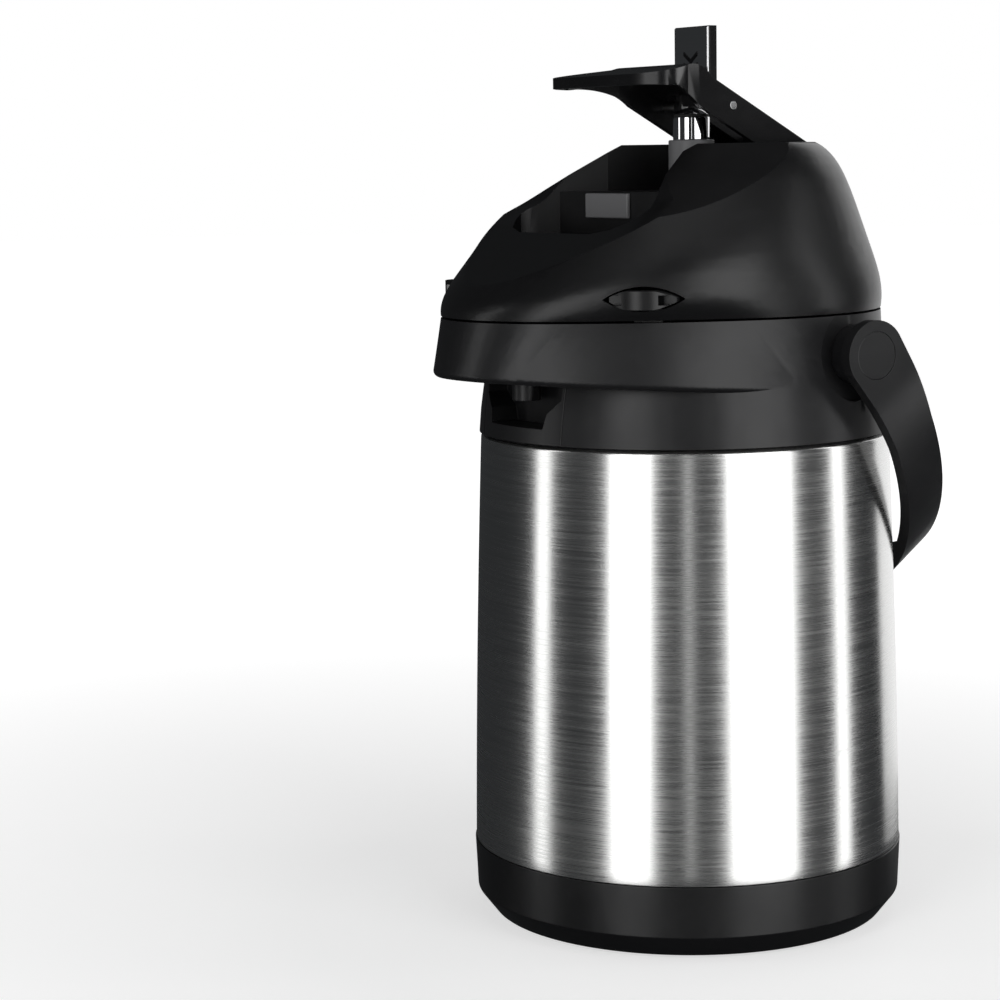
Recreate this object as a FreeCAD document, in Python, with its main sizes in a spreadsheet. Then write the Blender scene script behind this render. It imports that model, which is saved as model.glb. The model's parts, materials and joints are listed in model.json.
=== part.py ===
import FreeCAD, Part
import Sketcher
import math
import os

# Lever airpot: steel vacuum flask, plastic shoulder with a spout nose, hinged lid with a lever pump.
# Origin at the centre of the resting face, +Z up, the spout points along -Y. Millimetres.

Vector = FreeCAD.Vector
X_AXIS = Vector(1, 0, 0)
Y_AXIS = Vector(0, 1, 0)
Z_AXIS = Vector(0, 0, 1)

SIZES = [
    # flask and base
    ("base_radius", 81.0), ("base_height", 28.0), ("base_wall", 2.6), ("base_floor", 3.0),
    ("base_foot_radius", 74.0), ("base_turn", 8.0), ("foot_height", 1.2), ("foot_inner", 62.0),
    ("foot_outer", 70.0), ("foot_seat", 0.8), ("pad_radius", 16.0), ("post_circle", 52.0), ("post_radius", 5.0),
    ("screw_radius", 2.0), ("screw_head_radius", 3.6), ("screw_head_height", 2.0), ("screw_count", 4.0),
    ("joint_gap", 0.2), ("running_gap", 0.05), ("part_gap", 0.3),
    ("shell_inset", 0.4), ("shell_mid_radius", 79.0), ("shell_top_radius", 76.4), ("shell_top", 181.5),
    ("shell_wall", 0.8), ("shoulder_radius", 73.6), ("shoulder_rise", 1.7), ("neck_radius", 34.5),
    ("neck_start", 198.0), ("neck_top", 211.2), ("lip_thickness", 0.8), ("floor_lift", 1.0), ("floor_thickness", 0.8),
    ("liner_radius", 73.0), ("liner_floor", 35.0), ("liner_turn", 8.0), ("liner_shoulder", 164.0),
    ("liner_wall", 0.8), ("neck_bore", 31.5),
    # shoulder ring and nose
    ("collar_foot_radius", 77.0), ("collar_mid_radius", 76.2), ("collar_wall", 3.0),
    ("collar_top", 227.6), ("deck_thickness", 3.4), ("ring_top", 203.0), ("ring_top_radius", 74.7),
    ("collar_rear_radius", 73.2), ("nose_reach", 97.3), ("nose_radius", 50.0), ("nose_side_radius", 171.0),
    ("flare_bottom", 198.0), ("flare_rear_radius", 75.2), ("flare_reach", 105.2),
    ("flare_nose_radius", 40.0), ("flare_side_radius", 116.0), ("brow_height", 200.9),
    ("brow_slope", 0.06), ("brow_round", 2.4), ("seam_gap", 0.8), ("mouth_radius", 41.0),
    ("mouth_wall", 2.5), ("mouth_flange", 2.4), ("neck_ring_height", 5.0),
    ("bay_half_width", 26.0), ("bay_floor", 189.0), ("bay_floor_half", 17.0), ("bay_depth", 14.0),
    # liquid path
    ("gasket_height", 2.0), ("head_radius", 39.5), ("head_height", 8.0), ("plug_depth", 8.0),
    ("dip_radius", 5.0), ("tube_wall", 1.0), ("dip_bottom", 39.0), ("outlet_radius", 4.0),
    ("outlet_height", 218.0), ("spout_reach", 70.0), ("spout_radius", 5.2), ("spout_tip", 198.0),
    ("ball_radius", 3.0), ("ball_lift", 3.0),
    # lid
    ("lid_top", 289.0), ("lid_wall", 2.6), ("hood_toe", 80.5), ("hood_toe_height", 245.0),
    ("slice_height", 302.6), ("slice_lean", 0.3795), ("slice_climb", 0.4195),
    ("well_half_width", 24.0), ("well_front_half", 39.0), ("well_front", 57.5), ("well_rear", 47.0),
    ("well_wall", 2.0), ("well_floor", 256.0), ("well_deck", 272.0), ("well_step", 33.0),
    ("plate_thickness", 3.0), ("boss_radius", 38.0), ("boss_depth", 3.8), ("seal_height", 2.2),
    ("hinge_back", 78.5), ("hinge_height", 229.5), ("hinge_barrel", 4.3), ("hinge_pin_radius", 2.0),
    ("lug_half", 8.0), ("ear_outer", 13.5),
    ("latch_angle", 44.5), ("latch_root", 83.0), ("latch_reach", 8.0), ("latch_width", 24.0),
    ("latch_low", 232.8), ("latch_height", 6.4), ("latch_skin", 1.5), ("latch_travel", 3.0),
    # pump, lever and lock
    ("plunger_back", 4.3), ("stem_radius", 8.5), ("stem_top", 290.5), ("chrome_radius", 6.8),
    ("chrome_top", 298.9), ("groove_height", 1.0), ("dome_height", 2.5), ("guide_wall", 2.0),
    ("guide_rise", 4.0), ("bellows_radius", 24.0), ("bellows_top", 262.0),
    ("lever_hinge_back", 40.0), ("lever_hinge_height", 283.0), ("arm_half_depth", 5.85),
    ("arm_slope", 28.7), ("arm_half_width", 22.3), ("paddle_half_width", 33.0), ("paddle_front", 39.0),
    ("ridge_front", 11.8), ("lip_top", 313.8), ("lip_bottom", 310.0), ("lever_skin", 2.5),
    ("lever_pin_radius", 1.8),
    ("tab_half_width", 10.7), ("tab_face", 4.2), ("tab_back", 8.3), ("tab_top", 332.0),
    ("tab_plate", 0.8), ("lock_pin_back", 7.1), ("lock_pin_height", 302.7), ("lock_pin_radius", 1.5),
    # carrying handle
    ("pivot_back", 24.0), ("pivot_height", 213.7), ("handle_outer", 83.0), ("strap_thickness", 4.5),
    ("strap_half_width", 10.0), ("eye_radius", 12.5), ("arm_length", 12.0), ("bow_depth", 102.0),
    ("bow_fullness", 1.7),
    ("hang_angle", 54.0), ("pivot_pin_radius", 4.0), ("pin_head_radius", 7.0),
    ("pin_head", 2.5), ("boss_ring_radius", 10.5), ("boss_seat", 70.2),
    ("cap_radius", 8.5), ("cap_depth", 1.4),
]

doc = FreeCAD.newDocument("airpot")
sheet = doc.addObject("Spreadsheet::Sheet", "sizes")
for row, (alias, value) in enumerate(SIZES, start=1):
    sheet.set("A%d" % row, alias)
    sheet.set("B%d" % row, str(value))
    sheet.setAlias("B%d" % row, alias)
doc.recompute()

NODES = []


def size(alias):
    return float(sheet.get(alias))


def expr(text):
    """Prefix every sheet alias in a formula, so that it can drive a property."""
    words = text.replace("(", " ( ").replace(")", " ) ").split()
    known = {alias for alias, _ in SIZES}
    return " ".join("sizes." + word if word in known else word for word in words)


def keep(node, label):
    """Register a finished sub-part under its node name."""
    node.Label = label
    NODES.append(node)
    return node


def feature(label, shape):
    """A sub-part whose shape no primitive gives, such as a loft."""
    node = doc.addObject("Part::Feature", label)
    node.Shape = shape
    return keep(node, label)


def place(piece, x="0", y="0", z="0", axis="Z"):
    if axis == "X":
        piece.Placement.Rotation = FreeCAD.Rotation(Y_AXIS, 90)
    if axis == "Y":
        piece.Placement.Rotation = FreeCAD.Rotation(X_AXIS, -90)
    for coordinate, text in (("x", x), ("y", y), ("z", z)):
        piece.setExpression("Placement.Base." + coordinate, expr(text))
    return piece


def cylinder(name, radius, height, **where):
    piece = doc.addObject("Part::Cylinder", name)
    piece.setExpression("Radius", expr(radius))
    piece.setExpression("Height", expr(height))
    return place(piece, **where)


def box(name, length, width, height, **where):
    piece = doc.addObject("Part::Box", name)
    piece.setExpression("Length", expr(length))
    piece.setExpression("Width", expr(width))
    piece.setExpression("Height", expr(height))
    return place(piece, **where)


def cut(name, base, tool):
    piece = doc.addObject("Part::Cut", name)
    piece.Base = base
    piece.Tool = tool
    return piece


def fuse(name, *pieces):
    piece = doc.addObject("Part::MultiFuse", name)
    piece.Shapes = list(pieces)
    return piece


def tube(name, outer, inner, height, **where):
    """A straight tube, as one cylinder cut out of another."""
    solid = cylinder(name + "_outside", outer, height, **where)
    hole = cylinder(name + "_bore", inner, height, **where)
    return cut(name + "_cut", solid, hole)


def turned_body(label, profile):
    """A PartDesign body turned about Z. The profile is a closed polygon of radius and height formulas."""
    body = doc.addObject("PartDesign::Body", label)
    plane = [item for item in body.Origin.OriginFeatures if item.Role == "XZ_Plane"][0]
    sketch = body.newObject("Sketcher::SketchObject", label + "_profile")
    sketch.AttachmentSupport = (plane, "")
    sketch.MapMode = "FlatFace"
    corners = []
    for radius, height in profile:
        corners.append((number(radius), number(height)))
    count = len(corners)
    for index in range(count):
        first = corners[index]
        second = corners[(index + 1) % count]
        start = Vector(first[0], first[1], 0)
        sketch.addGeometry(Part.LineSegment(start, Vector(second[0], second[1], 0)), False)
    for index in range(count):
        sketch.addConstraint(Sketcher.Constraint("Coincident", index, 2, (index + 1) % count, 1))
    for index, (radius, height) in enumerate(profile):
        if radius == "0":
            sketch.addConstraint(Sketcher.Constraint("PointOnObject", index, 1, -2))
        else:
            across = sketch.addConstraint(
                Sketcher.Constraint("DistanceX", -1, 1, index, 1, corners[index][0]))
            sketch.setExpression("Constraints[%d]" % across, expr(radius))
        up = sketch.addConstraint(Sketcher.Constraint("DistanceY", -1, 1, index, 1, corners[index][1]))
        sketch.setExpression("Constraints[%d]" % up, expr(height))
    turn = body.newObject("PartDesign::Revolution", label + "_turn")
    turn.Profile = sketch
    turn.ReferenceAxis = (sketch, ["V_Axis"])
    turn.Angle = 360
    sketch.Visibility = False
    body.Tip = turn
    return body


def number(text):
    """The value of a formula, read from the sheet."""
    words = text.replace("(", " ( ").replace(")", " ) ").split()
    total = []
    for word in words:
        total.append(word)
    return evaluate(total)


def evaluate(words):
    """Sum, difference and product of sheet values, left to right within brackets."""
    def term(position):
        if words[position] == "(":
            value, position = run(position + 1)
            return value, position + 1
        try:
            return float(words[position]), position + 1
        except ValueError:
            return size(words[position]), position + 1

    def product(position):
        value, position = term(position)
        while position < len(words) and words[position] in "*/":
            sign = words[position]
            other, position = term(position + 1)
            value = value * other if sign == "*" else value / other
        return value, position

    def run(position):
        value, position = product(position)
        while position < len(words) and words[position] in "+-":
            sign = words[position]
            other, position = product(position + 1)
            value = value + other if sign == "+" else value - other
        return value, position

    return run(0)[0]


# ---------------------------------------------------------------- shapes that primitives cannot give


def egg_arcs(rear, reach, nose, side):
    """Centre of the right-hand side arc, and its normal directions at the nose and at the rear circle."""
    offset = reach - nose
    middle_y = ((rear - nose) * (2 * side - nose - rear) - offset ** 2) / (2 * offset)
    middle_x = math.sqrt((side - rear) ** 2 - middle_y ** 2)
    if side > rear:
        middle_x = -middle_x
    to_rear = Vector(-middle_x, -middle_y, 0).normalize()
    to_nose = Vector(-middle_x, -offset - middle_y, 0).normalize()
    if side < rear:
        to_rear = -to_rear
    if side < nose:
        to_nose = -to_nose
    return Vector(middle_x, middle_y, 0), to_nose, to_rear


def egg_outline(rear, reach, nose, side, height):
    """Closed wire of four tangent arcs: a rear circle about the origin, a nose and two sides."""
    centre, to_nose, to_rear = egg_arcs(rear, reach, nose, side)
    upper = centre + to_rear * side
    lower = centre + to_nose * side
    between = centre + (to_rear + to_nose).normalize() * side

    def at(point, mirror=1):
        return Vector(point.x * mirror, point.y, height)

    edges = [
        Part.Arc(at(upper), Vector(0, rear, height), at(upper, -1)).toShape(),
        Part.Arc(at(upper, -1), at(between, -1), at(lower, -1)).toShape(),
        Part.Arc(at(lower, -1), Vector(0, -reach, height), at(lower)).toShape(),
        Part.Arc(at(lower), at(between), at(upper)).toShape(),
    ]
    return Part.Wire(edges)


def egg_curve(rear, reach, nose, side, height):
    """The same outline as one smooth closed curve, through points at equal steps of normal direction."""
    centre, to_nose, to_rear = egg_arcs(rear, reach, nose, side)
    nose_turn = math.atan2(to_nose.y, to_nose.x)
    rear_turn = math.atan2(to_rear.y, to_rear.x)
    steps = 18
    right_side = []
    for index in range(steps + 1):
        turn = math.pi * (index / steps - 0.5)
        normal = Vector(math.cos(turn), math.sin(turn), 0)
        if turn <= nose_turn:
            point = Vector(0, nose - reach, 0) + normal * nose
        elif turn >= rear_turn:
            point = normal * rear
        else:
            point = centre + normal * side
        right_side.append(Vector(max(point.x, 0), point.y, height))
    left_side = [Vector(-point.x, point.y, height) for point in right_side[-2:0:-1]]
    curve = Part.BSplineCurve()
    curve.interpolate(Points=right_side + left_side, PeriodicFlag=True)
    return Part.Wire([curve.toShape()])


def lofted(sections, inset=0.0, ruled=False):
    """Solid through egg outlines, each drawn in by inset. Ruled ones keep their exact arcs."""
    outline = egg_outline if ruled else egg_curve
    wires = []
    for height, rear, reach, nose, side in sections:
        wires.append(outline(rear - inset, reach - inset, nose - inset, side - inset, height))
    return Part.makeLoft(wires, True, ruled)


def revolved(points):
    """Solid of revolution about Z from a closed list of (radius, height) points."""
    corners = [Vector(radius, 0, height) for radius, height in points]
    face = Part.Face(Part.makePolygon(corners + corners[:1]))
    return face.revolve(Vector(0, 0, 0), Z_AXIS, 360)


def prism(points, low, high, axis):
    """Straight solid from a closed outline, between two stations along X or Z."""
    if axis == "X":
        corners = [Vector(low, across, up) for across, up in points]
        along = Vector(high - low, 0, 0)
    else:
        corners = [Vector(across, back, low) for across, back in points]
        along = Vector(0, 0, high - low)
    face = Part.Face(Part.makePolygon(corners + corners[:1]))
    return face.extrude(along)


def edges_at(shape, test):
    return [edge for edge in shape.Edges if test(edge)]


def rounded(shape, radius, test):
    """Fillet the edges that pass the test."""
    return shape.makeFillet(radius, edges_at(shape, test))


# ---------------------------------------------------------------- base


def make_base():
    outside = [
        ("0", "foot_height"), ("base_foot_radius", "foot_height"),
        ("base_radius - 0.8", "foot_height + base_turn"), ("base_radius", "base_height"),
        ("base_radius - base_wall", "base_height"),
        ("base_radius - base_wall - 0.8", "foot_height + base_turn"),
        ("base_foot_radius - base_wall", "foot_height + base_floor"), ("0", "foot_height + base_floor"),
    ]
    cup = turned_body("base_blank", outside)
    groove = tube("foot_groove", "foot_outer + running_gap", "foot_inner - running_gap", "foot_seat",
                  z="foot_height")
    posts = []
    holes = []
    screws = []
    for index in range(int(size("screw_count"))):
        turn = math.radians(45 + 90 * index)
        along = "post_circle * %.6f" % math.cos(turn)
        back = "post_circle * %.6f" % math.sin(turn)
        posts.append(cylinder("post_%d" % index, "post_radius",
                              "base_height - foot_height - base_floor", x=along, y=back,
                              z="foot_height + base_floor"))
        holes.append(cylinder("post_hole_%d" % index, "screw_radius + running_gap",
                              "base_height - foot_height - 2", x=along, y=back, z="foot_height"))
        holes.append(cylinder("post_head_hole_%d" % index, "screw_head_radius + running_gap",
                              "screw_head_height", x=along, y=back, z="foot_height"))
        screws.append(fuse("base_screw_%d" % index,
                           cylinder("base_screw_shank_%d" % index, "screw_radius",
                                    "base_height - foot_height - 4", x=along, y=back, z="foot_height"),
                           cylinder("base_screw_head_%d" % index, "screw_head_radius",
                                    "screw_head_height - 0.2", x=along, y=back, z="foot_height + 0.2")))
    solid = fuse("base_with_posts", cup, *posts)
    pad_seat = cylinder("pad_seat", "pad_radius + running_gap", "foot_seat", z="foot_height")
    tools = fuse("base_cutters", groove, pad_seat, *holes)
    keep(cut("base_cup_cut", solid, tools), "base_cup")
    keep(tube("foot", "foot_outer", "foot_inner", "foot_height + foot_seat"), "foot_ring")
    keep(cylinder("middle_foot", "pad_radius", "foot_height + foot_seat"), "foot_pad")
    group = doc.addObject("Part::Compound", "base_screw_group")
    group.Links = screws
    keep(group, "base_screws")


# ---------------------------------------------------------------- steel flask


def make_flask():
    low = size("base_height") + size("joint_gap") / 2
    wall = size("shell_wall")
    foot = size("base_radius") - size("shell_inset")
    top = size("shell_top")
    shoulder = size("shoulder_radius")
    shoulder_height = top + size("shoulder_rise")
    middle = (low + top) / 2

    def side(inset):
        start = Vector(foot - inset, 0, low)
        through = Vector(size("shell_mid_radius") - inset, 0, middle)
        return Part.Arc(start, through, Vector(size("shell_top_radius") - inset, 0, top)).toShape()

    outer = [Vector(size("shell_top_radius"), 0, top), Vector(shoulder, 0, shoulder_height),
             Vector(size("neck_radius"), 0, size("neck_start")),
             Vector(size("neck_radius"), 0, size("neck_top"))]
    inner = [Vector(size("neck_radius") - wall, 0, size("neck_top")),
             Vector(size("neck_radius") - wall, 0, size("neck_start") - wall),
             Vector(shoulder - wall, 0, shoulder_height - wall),
             Vector(size("shell_top_radius") - wall, 0, top)]
    edges = [side(0)]
    for first, second in zip(outer + inner, (outer + inner)[1:]):
        edges.append(Part.makeLine(first, second))
    edges.append(side(wall))
    edges.append(Part.makeLine(Vector(foot - wall, 0, low), Vector(foot, 0, low)))
    profile = Part.Wire(Part.__sortEdges__(edges))
    shell = Part.Face(profile).revolve(Vector(0, 0, 0), Z_AXIS, 360)
    feature("outer_shell", shell)

    keep(cylinder("floor_disc", "base_radius - shell_inset - shell_wall - part_gap", "floor_thickness",
                  z="base_height + floor_lift"), "shell_floor")

    liner = [
        ("0", "liner_floor"), ("liner_radius - liner_turn", "liner_floor"),
        ("liner_radius", "liner_floor + liner_turn"), ("liner_radius", "liner_shoulder"),
        ("liner_radius - 12", "liner_shoulder + 13"), ("neck_bore + liner_wall", "neck_start - 8"),
        ("neck_bore + liner_wall", "neck_top"), ("neck_radius", "neck_top"),
        ("neck_radius", "neck_top + lip_thickness"), ("neck_bore", "neck_top + lip_thickness"),
        ("neck_bore", "neck_start - 8.6"), ("liner_radius - 12.5", "liner_shoulder + 12.2"),
        ("liner_radius - liner_wall", "liner_shoulder - 0.3"),
        ("liner_radius - liner_wall", "liner_floor + liner_turn + 0.4"),
        ("liner_radius - liner_turn - 0.4", "liner_floor + liner_wall"), ("0", "liner_floor + liner_wall"),
    ]
    keep(turned_body("inner_liner_body", liner), "inner_liner")


# ---------------------------------------------------------------- shoulder ring with the nose


def collar_sections():
    """Bottom and top outline of the flared upper band."""
    return [
        (size("flare_bottom"), size("flare_rear_radius"), size("flare_reach"),
         size("flare_nose_radius"), size("flare_side_radius")),
        (size("collar_top"), size("collar_rear_radius"), size("nose_reach"),
         size("nose_radius"), size("nose_side_radius")),
    ]


def above_brow(lift):
    """Everything above the sloping lower face of the nose."""
    reach = 160.0
    slope = size("brow_slope")
    height = size("brow_height") + lift
    outline = [(-reach, height + slope * reach), (reach, height - slope * reach), (reach, 320), (-reach, 320)]
    return prism(outline, -reach, reach, "X")


def ring_solid(inset, low, high):
    """Round lower ring of the shoulder, with its side drawn in by inset."""
    foot = low - 1
    middle = (size("shell_top") + size("ring_top")) / 2
    points = [(0, foot), (size("collar_foot_radius") - inset, foot),
              (size("collar_mid_radius") - inset, middle),
              (size("ring_top_radius") - inset, size("ring_top")),
              (size("ring_top_radius") - inset - 1, high), (0, high)]
    solid = revolved(points)
    return solid.common(Part.makeCylinder(100, high - low, Vector(0, 0, low)))


def hinge_point():
    return Vector(0, size("hinge_back"), size("hinge_height"))


def across(shape_x, back, height, radius, length):
    """Round bar along X."""
    return Part.makeCylinder(radius, length, Vector(shape_x, back, height), X_AXIS)


def latch_frame(side):
    """Placement of the latch on one side: local X outwards, local Y along the wall."""
    turn = -90 + side * size("latch_angle")
    return FreeCAD.Placement(Vector(0, 0, 0), FreeCAD.Rotation(Z_AXIS, turn))


def make_collar():
    wall = size("collar_wall")
    foot = size("shell_top") + size("shoulder_rise") + size("joint_gap")
    top = size("collar_top")
    deck = top - size("deck_thickness")
    band = lofted(collar_sections(), 0.0, True).common(above_brow(0))
    brow_edges = [edge for edge in band.Edges if edge.BoundBox.ZMax < size("brow_height") + 8]
    band = band.makeFillet(size("brow_round"), brow_edges)
    outer = ring_solid(0, foot, size("ring_top") + 4).fuse(band)
    hollow_band = lofted(collar_sections(), wall, True).common(above_brow(wall))
    hollow_band = hollow_band.common(Part.makeBox(300, 300, deck, Vector(-150, -150, 0)))
    hollow = ring_solid(wall, foot - 0.5, size("ring_top") + 4).fuse(hollow_band)
    body = outer.cut(hollow)

    mouth = size("mouth_radius")
    funnel_foot = size("neck_start") + 0.6
    funnel = Part.makeCylinder(mouth + size("mouth_wall"), deck - funnel_foot, Vector(0, 0, funnel_foot))
    body = body.fuse(funnel)
    body = body.cut(Part.makeCylinder(mouth, 60, Vector(0, 0, funnel_foot + size("mouth_flange"))))
    neck_hole = size("neck_radius") + size("part_gap")
    body = body.cut(Part.makeCylinder(neck_hole, 60, Vector(0, 0, funnel_foot - 1)))

    bay = size("bay_half_width")
    front_gap = Part.makeBox(2 * bay, 60, 40, Vector(-bay, -115, foot - 1))
    body = body.cut(front_gap.cut(above_brow(0)))
    tube_radius = size("outlet_radius")
    outlet = size("outlet_height")
    reach = size("spout_reach")
    body = body.cut(Part.makeCylinder(tube_radius + 0.3, mouth + 10, Vector(0, -mouth - 10, outlet), Y_AXIS))
    spout_hole = Part.makeCylinder(size("spout_radius") + 0.3, 30, Vector(0, -reach, foot))
    body = body.cut(spout_hole)

    for side in (1, -1):
        backing = across(0, size("pivot_back"), size("pivot_height"), 19.0, 8)
        backing.translate(Vector(size("boss_seat") - 4.5 if side > 0 else -size("boss_seat") - 3.5, 0, 0))
        body = body.fuse(backing.common(outer))
        pocket = across(0, size("pivot_back"), size("pivot_height"), 17.0, 30)
        pocket.translate(Vector(size("boss_seat") if side > 0 else -size("boss_seat") - 30, 0, 0))
        body = body.cut(pocket)
        start = 50 if side > 0 else -90
        body = body.cut(across(start, size("pivot_back"), size("pivot_height"),
                               size("pivot_pin_radius") + size("running_gap"), 40))
        head_room = across(0, size("pivot_back"), size("pivot_height"),
                           size("pin_head_radius") + size("part_gap"), size("pin_head") + size("part_gap"))
        head_start = size("boss_seat") - 4.5
        head_room.translate(Vector(head_start - head_room.BoundBox.XLength if side > 0 else -head_start, 0, 0))
        body = body.cut(head_room)
        slot = Part.makeBox(8.5, 14, 10, Vector(65.5, -7, deck - 3))
        slot.Placement = latch_frame(side)
        body = body.cut(slot)
        ear_low = size("lug_half") + 0.4
        ear_length = size("ear_outer") - ear_low
        start = ear_low if side > 0 else -size("ear_outer")
        hinge = hinge_point()
        ear = Part.makeBox(ear_length, 8.0, 6.0, Vector(start, hinge.y - 8.0, top - 6.4))
        barrel = across(start, hinge.y, hinge.z, size("hinge_barrel"), ear_length)
        clear = across(start - 1, hinge.y, hinge.z, size("hinge_pin_radius") + size("running_gap"), 30)
        body = body.fuse(ear.fuse(barrel)).cut(clear)
    feature("collar", body.removeSplitter())

    plate_side = bay - size("joint_gap")
    insert = ring_solid(0, foot, size("ring_top") + 6)
    insert = insert.common(Part.makeBox(2 * plate_side, 24, 40, Vector(-plate_side, -82, foot)))
    insert = insert.cut(above_brow(-size("joint_gap")))
    clearance = revolved([(0, 170), (size("shoulder_radius") + 0.4, 170),
                          (size("shoulder_radius") + 0.4, foot), (size("neck_radius"), size("neck_start") + 0.6),
                          (0, size("neck_start") + 0.6)])
    insert = insert.cut(clearance)
    floor_half = size("bay_floor_half")
    floor = size("bay_floor")
    back = -size("collar_foot_radius") + size("bay_depth")
    right_side = [(floor_half, floor), (floor_half + 1.4, floor + 5.5), (plate_side - 1.5, floor + 10.5),
                  (plate_side - 1.2, floor + 30)]
    outline = right_side + [(-across_x, up) for across_x, up in reversed(right_side)]
    corners = [Vector(across_x, -120, up) for across_x, up in outline]
    bay_cut = Part.Face(Part.makePolygon(corners + corners[:1])).extrude(Vector(0, back + 120, 0))
    feature("nozzle_insert", insert.cut(bay_cut))

    keep(tube("neck_nut", "mouth_radius - part_gap", "neck_radius + running_gap", "neck_ring_height",
              z="neck_start + 0.6 + mouth_flange + 0.05"), "neck_ring")


# ---------------------------------------------------------------- liquid path


def make_liquid_path():
    keep(tube("mouth_seal", "head_radius - 2", "neck_bore + 0.2", "gasket_height",
              z="neck_top + lip_thickness"), "mouth_gasket")
    head_low = size("neck_top") + size("lip_thickness") + size("gasket_height")
    head_high = head_low + size("head_height")
    dip_back = -12.0
    head = Part.makeCylinder(size("head_radius"), size("head_height"), Vector(0, 0, head_low))
    plug_radius = size("neck_bore") - size("part_gap")
    plug = Part.makeCylinder(plug_radius, size("plug_depth"), Vector(0, 0, head_low - size("plug_depth")))
    head = head.fuse(plug)
    dip_hole = Part.makeCylinder(size("dip_radius") + 0.02, size("plug_depth"),
                                 Vector(0, dip_back, head_low - size("plug_depth")))
    riser = Part.makeCylinder(size("dip_radius") - size("tube_wall"), 6, Vector(0, dip_back, head_low - 0.5))
    outlet = size("outlet_height")
    run = Part.makeCylinder(size("outlet_radius") - size("tube_wall"), 40, Vector(0, dip_back - 40, outlet),
                            Y_AXIS)
    socket = Part.makeCylinder(size("outlet_radius") + 0.02, 8, Vector(0, -size("head_radius") - 3, outlet),
                               Y_AXIS)
    air_way = Part.makeCylinder(4.0, 40, Vector(0, 14, head_low - 20))
    ball_room = Part.makeCylinder(size("ball_radius") + 0.3, size("ball_radius") * 2 + size("ball_lift") + 1,
                                  Vector(16, 0, head_low - 7.5))
    ball_way = Part.makeCylinder(size("ball_radius") - 1.0, 40, Vector(16, 0, head_low - 20))
    for tool in (dip_hole, riser, run, socket, air_way, ball_room, ball_way):
        head = head.cut(tool)
    feature("tube_head", head)
    ball_height = head_low - 7.5 + size("ball_radius") + 0.02
    feature("valve_ball", Part.makeSphere(size("ball_radius"), Vector(16, 0, ball_height)))

    dip_top = head_low - 0.2
    dip = Part.makeCylinder(size("dip_radius"), dip_top - size("dip_bottom"),
                            Vector(0, dip_back, size("dip_bottom")))
    bore = Part.makeCylinder(size("dip_radius") - size("tube_wall"), 300, Vector(0, dip_back, 0))
    feature("dip_tube", dip.cut(bore))

    reach = size("spout_reach")
    radius = size("outlet_radius")
    wall = size("tube_wall")
    start = Vector(0, -size("head_radius") + 4.5, outlet)
    corner = 8.0
    path = [
        Part.makeLine(start, Vector(0, -reach + corner, outlet)),
        Part.Arc(Vector(0, -reach + corner, outlet),
                 Vector(0, -reach + corner - corner * math.sin(math.pi / 4),
                        outlet - corner + corner * math.cos(math.pi / 4)),
                 Vector(0, -reach, outlet - corner)).toShape(),
        Part.makeLine(Vector(0, -reach, outlet - corner), Vector(0, -reach, outlet - corner - 3)),
    ]
    spine = Part.Wire(path)

    def pipe(pipe_radius):
        ring = Part.Wire(Part.makeCircle(pipe_radius, start, Vector(0, -1, 0)))
        return spine.makePipeShell([ring], True, False)

    feature("discharge_tube", pipe(radius).cut(pipe(radius - wall)))

    nozzle_top = outlet - corner - 1.5
    nozzle = Part.makeCylinder(size("spout_radius"), nozzle_top - size("spout_tip"),
                               Vector(0, -reach, size("spout_tip")))
    nozzle = nozzle.cut(Part.makeCylinder(radius - wall, 60, Vector(0, -reach, size("spout_tip") - 5)))
    nozzle = nozzle.cut(Part.makeCylinder(radius + 0.02, 3.1, Vector(0, -reach, outlet - corner - 3.1)))
    feature("spout_nozzle", nozzle)


# ---------------------------------------------------------------- lid


def lid_sections(drop=0.0):
    """Egg outlines of the domed lid, from the seam to its flat top."""
    seam = size("collar_top") + size("seam_gap")
    top = size("lid_top") - drop
    return [
        (seam, size("collar_rear_radius"), size("nose_reach"), size("nose_radius"),
         size("nose_side_radius")),
        (245.0, 71.3, 84.0, 73.0, 90.0),
        (262.0, 65.5, 71.5, 67.0, 77.0),
        (276.0, 60.2, 60.8, 59.6, 62.5),
        (285.0 - drop * 0.6, 54.5, 43.0, 66.0, 40.0),
        (top, 49.0, 27.0, 78.0, 24.0),
    ]


def below_hood(drop):
    """Space below the scooped front face of the lid: a gentle slope, then a steep rise to the top."""
    toe = -size("hood_toe")
    toe_height = size("hood_toe_height") - drop
    points = [Vector(0, -130, toe_height - 27), Vector(0, toe, toe_height), Vector(0, -57, toe_height + 13),
              Vector(0, -43, toe_height + 21)]
    rise_low = Vector(0, -35, toe_height + 27.5)
    rise_high = Vector(0, -22.5, size("lid_top") - drop - 2.5)
    top_front = Vector(0, -18.5, size("lid_top") - drop)
    edges = []
    for first, second in zip(points, points[1:]):
        edges.append(Part.makeLine(first, second))
    edges.append(Part.Arc(points[-1], Vector(0, -38.3, toe_height + 23.7), rise_low).toShape())
    edges.append(Part.makeLine(rise_low, rise_high))
    edges.append(Part.Arc(rise_high, Vector(0, -20.9, size("lid_top") - drop - 0.8), top_front).toShape())
    far = Vector(0, 130, size("lid_top") - drop)
    under = Vector(0, 130, 100)
    corner = Vector(0, -130, 100)
    for first, second in ((top_front, far), (far, under), (under, corner), (corner, points[0])):
        edges.append(Part.makeLine(first, second))
    face = Part.Face(Part.Wire(edges))
    face.translate(Vector(-130, 0, 0))
    return face.extrude(Vector(260, 0, 0))


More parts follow.
